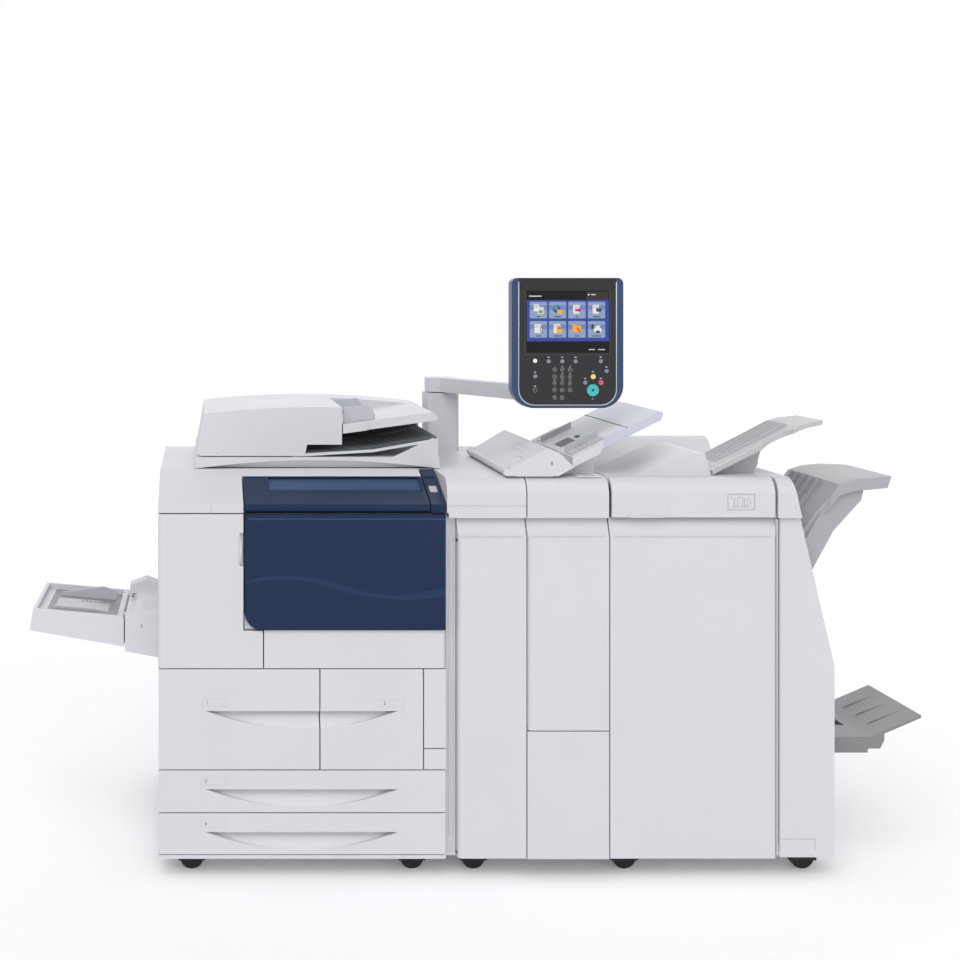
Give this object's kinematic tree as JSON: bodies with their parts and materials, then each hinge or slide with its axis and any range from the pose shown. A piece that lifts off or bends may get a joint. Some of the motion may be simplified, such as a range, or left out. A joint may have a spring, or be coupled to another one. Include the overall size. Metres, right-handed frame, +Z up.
{
  "type": "digital production printer",
  "caption": "Floor-standing digital production printer with paper drawers, document feeder, bypass tray, swivelling console, sheet inserter and finisher with exit trays.",
  "frame": {"origin": "middle of the footprint on the floor, midway between the bypass tray's tip and the booklet tray's tip", "axes": "+Z up, +X to the right seen from the front, +Y to the back; the front faces -Y"},
  "size_m": [2.272, 0.786, 1.506],
  "materials": {
    "steel": "satin",
    "cover": "fine texture",
    "navy": "satin",
    "grey": "matte",
    "tray": "matte",
    "black": "matte",
    "glass": "clear",
    "drum": "coated",
    "roll": "satin",
    "face": "gloss",
    "screen": "gloss",
    "key": "matte",
    "teal": "gloss",
    "red": "gloss",
    "yellow": "gloss",
    "wheel": "matte"
  },
  "bodies": {
    "machine": {"engine_frame": "steel", "engine_covers": "cover", "front_covers": "cover", "power_fascia": "navy", "scanner_housing": "cover", "platen_glass": "glass", "print_modules": "black", "transfer_module": "black", "bypass_base": "cover", "console_post": "cover", "interface_cabinet": "cover", "inserter_cabinet": "cover", "inserter_feeder": "cover", "finisher_cabinet": "cover", "proof_tray": "tray", "booklet_tray": "tray", "caster_housings": "black"},
    "right_door": {"right_front_door": "cover", "blue_door_panel": "navy"},
    "console_panel": {"console_housing": "navy", "console_face": "face", "touch_screen": "screen", "keypad": "key"},
    "power_switch": {"power_switch": "grey"},
    "drum": {"photoreceptor_drum": "drum"},
    "fuser": {"fuser_roll": "roll"},
    "drawer_1": {"drawer_1": "cover"},
    "drawer_2": {"drawer_2": "cover"},
    "drawer_3": {"drawer_3": "cover"},
    "drawer_4": {"drawer_4": "cover"},
    "left_door": {"left_front_door": "cover"},
    "toner_cover": {"toner_cover": "navy"},
    "document_cover": {"document_cover": "cover"},
    "feeder_cover": {"feeder_cover": "cover"},
    "front_document_guide": {"front_document_guide": "grey"},
    "rear_document_guide": {"rear_document_guide": "grey"},
    "bypass_tray": {"bypass_tray": "cover"},
    "bypass_guide": {"bypass_guide": "grey"},
    "console_arm": {"console_arm": "cover"},
    "start_button": {"start_button": "teal"},
    "stop_button": {"stop_button": "red"},
    "clear_button": {"clear_button": "yellow"},
    "interface_door": {"interface_door": "cover"},
    "inserter_door": {"inserter_door": "cover"},
    "finisher_door": {"finisher_door": "cover"},
    "inserter_hood": {"inserter_hood": "cover"},
    "front_inserter_guide": {"front_inserter_guide": "grey"},
    "rear_inserter_guide": {"rear_inserter_guide": "grey"},
    "finisher_top_cover": {"finisher_top_cover": "cover"},
    "stacker_tray": {"stacker_tray": "tray"},
    "wheel_1": {"wheel_1": "wheel"},
    "wheel_2": {"wheel_2": "wheel"},
    "wheel_3": {"wheel_3": "wheel"},
    "wheel_4": {"wheel_4": "wheel"},
    "wheel_5": {"wheel_5": "wheel"},
    "wheel_6": {"wheel_6": "wheel"},
    "wheel_7": {"wheel_7": "wheel"},
    "wheel_8": {"wheel_8": "wheel"},
    "wheel_9": {"wheel_9": "wheel"},
    "wheel_10": {"wheel_10": "wheel"}
  },
  "joints": [
    {"name": "power_switch_press", "type": "slide", "parent": "machine", "child": "power_switch", "axis": [0, 0.3331, -0.9429], "range_m": [0, 0.003], "stiffness_N_per_m": 900},
    {"name": "drum_spin", "type": "hinge", "parent": "machine", "child": "drum", "pos_m": [-0.503, 0, 0.665], "axis": [0, 1, 0], "continuous": true},
    {"name": "fuser_spin", "type": "hinge", "parent": "machine", "child": "fuser", "pos_m": [-0.243, 0, 0.665], "axis": [0, 1, 0], "continuous": true},
    {"name": "drawer_1_slide", "type": "slide", "parent": "machine", "child": "drawer_1", "axis": [0, -1, 0], "range_m": [0, 0.45]},
    {"name": "drawer_2_slide", "type": "slide", "parent": "machine", "child": "drawer_2", "axis": [0, -1, 0], "range_m": [0, 0.45]},
    {"name": "drawer_3_slide", "type": "slide", "parent": "machine", "child": "drawer_3", "axis": [0, -1, 0], "range_m": [0, 0.45]},
    {"name": "drawer_4_slide", "type": "slide", "parent": "machine", "child": "drawer_4", "axis": [0, -1, 0], "range_m": [0, 0.45]},
    {"name": "left_door_swing", "type": "hinge", "parent": "machine", "child": "left_door", "pos_m": [-0.791, -0.378, 0.527], "axis": [0, 0, -1], "range_deg": [0, 90]},
    {"name": "right_door_swing", "type": "hinge", "parent": "machine", "child": "right_door", "pos_m": [-0.095, -0.378, 0.527], "axis": [0, 0, 1], "range_deg": [0, 90]},
    {"name": "toner_cover_lift", "type": "hinge", "parent": "machine", "child": "toner_cover", "pos_m": [-0.403, -0.381, 0.9255], "axis": [1, 0, 0], "range_deg": [0, 90]},
    {"name": "document_cover_lift", "type": "hinge", "parent": "machine", "child": "document_cover", "pos_m": [-0.403, 0.365, 1.0195], "axis": [-1, 0, 0], "range_deg": [0, 65]},
    {"name": "feeder_cover_lift", "type": "hinge", "parent": "document_cover", "child": "feeder_cover", "pos_m": [-0.693, -0.01, 1.05], "axis": [0, -1, 0], "range_deg": [0, 75]},
    {"name": "front_document_guide_slide", "type": "slide", "parent": "document_cover", "child": "front_document_guide", "axis": [0, 1, 0], "range_m": [0, 0.07]},
    {"name": "rear_document_guide_slide", "type": "slide", "parent": "document_cover", "child": "rear_document_guide", "axis": [0, 1, 0], "range_m": [-0.07, 0]},
    {"name": "bypass_tray_fold", "type": "hinge", "parent": "machine", "child": "bypass_tray", "pos_m": [-0.902, -0.12, 0.628], "axis": [0, 1, 0], "range_deg": [0, 80]},
    {"name": "bypass_guide_slide", "type": "slide", "parent": "bypass_tray", "child": "bypass_guide", "axis": [0, -1, 0], "range_m": [0, 0.2]},
    {"name": "console_swivel", "type": "hinge", "parent": "machine", "child": "console_arm", "pos_m": [0.019, 0.298, 1.177], "axis": [0, 0, 1], "range_deg": [-40, 6]},
    {"name": "console_tilt", "type": "hinge", "parent": "console_arm", "child": "console_panel", "pos_m": [0.25, -0.216, 1.198], "axis": [-1, 0, 0], "range_deg": [-10, 25]},
    {"name": "start_button_press", "type": "slide", "parent": "console_panel", "child": "start_button", "axis": [0, 1, 0], "range_m": [0, 0.0015], "stiffness_N_per_m": 600},
    {"name": "stop_button_press", "type": "slide", "parent": "console_panel", "child": "stop_button", "axis": [0, 1, 0], "range_m": [0, 0.0015], "stiffness_N_per_m": 600},
    {"name": "clear_button_press", "type": "slide", "parent": "console_panel", "child": "clear_button", "axis": [0, 1, 0], "range_m": [0, 0.0015], "stiffness_N_per_m": 600},
    {"name": "interface_door_swing", "type": "hinge", "parent": "machine", "child": "interface_door", "pos_m": [-0.041, -0.378, 0.0525], "axis": [0, 0, -1], "range_deg": [0, 90]},
    {"name": "inserter_door_swing", "type": "hinge", "parent": "machine", "child": "inserter_door", "pos_m": [0.133, -0.378, 0.4], "axis": [0, 0, -1], "range_deg": [0, 90]},
    {"name": "finisher_door_swing", "type": "hinge", "parent": "machine", "child": "finisher_door", "pos_m": [0.733, -0.378, 0.0525], "axis": [0, 0, 1], "range_deg": [0, 90]},
    {"name": "inserter_hood_lift", "type": "hinge", "parent": "machine", "child": "inserter_hood", "pos_m": [0.075, -0.14, 1.015], "axis": [0, -1, 0], "range_deg": [0, 55]},
    {"name": "front_inserter_guide_slide", "type": "slide", "parent": "machine", "child": "front_inserter_guide", "axis": [0, 1, 0], "range_m": [0, 0.06]},
    {"name": "rear_inserter_guide_slide", "type": "slide", "parent": "machine", "child": "rear_inserter_guide", "axis": [0, 1, 0], "range_m": [-0.06, 0]},
    {"name": "finisher_top_cover_lift", "type": "hinge", "parent": "machine", "child": "finisher_top_cover", "pos_m": [0.537, -0.3508, 0.993], "axis": [-1, 0, 0], "range_deg": [0, 85]},
    {"name": "stacker_tray_lift", "type": "slide", "parent": "machine", "child": "stacker_tray", "axis": [0, 0, 1], "range_m": [-0.17, 0]},
    {"name": "wheel_1_roll", "type": "hinge", "parent": "machine", "child": "wheel_1", "pos_m": [-0.719, -0.3085, 0.03], "axis": [0, 1, 0], "continuous": true},
    {"name": "wheel_2_roll", "type": "hinge", "parent": "machine", "child": "wheel_2", "pos_m": [-0.158, -0.3085, 0.03], "axis": [0, 1, 0], "continuous": true},
    {"name": "wheel_3_roll", "type": "hinge", "parent": "machine", "child": "wheel_3", "pos_m": [-0.002, -0.3085, 0.03], "axis": [0, 1, 0], "continuous": true},
    {"name": "wheel_4_roll", "type": "hinge", "parent": "machine", "child": "wheel_4", "pos_m": [0.383, -0.3085, 0.03], "axis": [0, 1, 0], "continuous": true},
    {"name": "wheel_5_roll", "type": "hinge", "parent": "machine", "child": "wheel_5", "pos_m": [0.837, -0.3085, 0.03], "axis": [0, 1, 0], "continuous": true},
    {"name": "wheel_6_roll", "type": "hinge", "parent": "machine", "child": "wheel_6", "pos_m": [-0.719, 0.31, 0.03], "axis": [0, 1, 0], "continuous": true},
    {"name": "wheel_7_roll", "type": "hinge", "parent": "machine", "child": "wheel_7", "pos_m": [-0.158, 0.31, 0.03], "axis": [0, 1, 0], "continuous": true},
    {"name": "wheel_8_roll", "type": "hinge", "parent": "machine", "child": "wheel_8", "pos_m": [-0.002, 0.31, 0.03], "axis": [0, 1, 0], "continuous": true},
    {"name": "wheel_9_roll", "type": "hinge", "parent": "machine", "child": "wheel_9", "pos_m": [0.383, 0.31, 0.03], "axis": [0, 1, 0], "continuous": true},
    {"name": "wheel_10_roll", "type": "hinge", "parent": "machine", "child": "wheel_10", "pos_m": [0.837, 0.31, 0.03], "axis": [0, 1, 0], "continuous": true}
  ],
  "couplings": [
    {"joint": "rear_document_guide_slide", "follows": "front_document_guide_slide", "ratio": -1},
    {"joint": "rear_inserter_guide_slide", "follows": "front_inserter_guide_slide", "ratio": -1}
  ]
}
